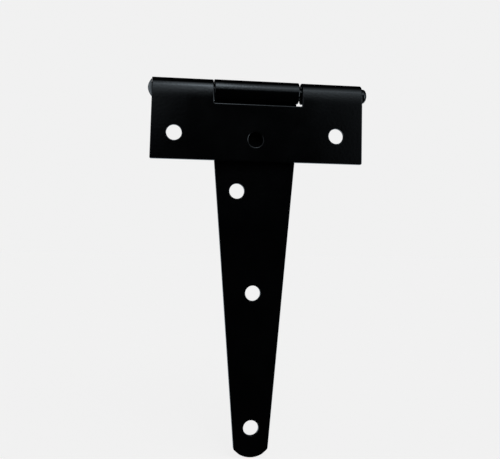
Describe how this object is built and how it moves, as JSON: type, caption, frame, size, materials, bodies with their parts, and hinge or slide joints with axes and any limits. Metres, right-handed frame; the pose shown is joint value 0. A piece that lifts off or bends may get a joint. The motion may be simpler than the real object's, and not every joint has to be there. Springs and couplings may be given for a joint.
{
  "type": "tee hinge",
  "caption": "Light black tee hinge: a short rectangular jamb leaf and a long tapered strap leaf with a rounded tip, joined by a peened pin and folded shut.",
  "frame": {"origin": "On the jamb leaf's back face (the face that lies on the jamb), on the leaf's centre line, 8.85 mm below the pin's axis.", "axes": "+X along the pin. -Y out of the jamb leaf's back face. +Z from the leaves' free ends up to the knuckles: folded shut, both leaves hang towards -Z, the strap leaf behind the jamb leaf with its back face towards +Y."},
  "size_m": [0.077, 0.0073, 0.1307],
  "materials": {
    "jamb_coat": "satin black powder coat",
    "strap_coat": "satin black powder coat",
    "pin_coat": "satin black powder coat over a peened steel head"
  },
  "bodies": {
    "jamb": {"jamb_leaf": "jamb_coat", "hinge_pin": "pin_coat"},
    "strap": {"strap_leaf": "strap_coat"}
  },
  "joints": [
    {"name": "strap_swing", "type": "hinge", "parent": "jamb", "child": "strap", "pos_m": [0, 0.00365, 0.00885], "axis": [1, 0, 0], "range_deg": [-9, 286]}
  ]
}
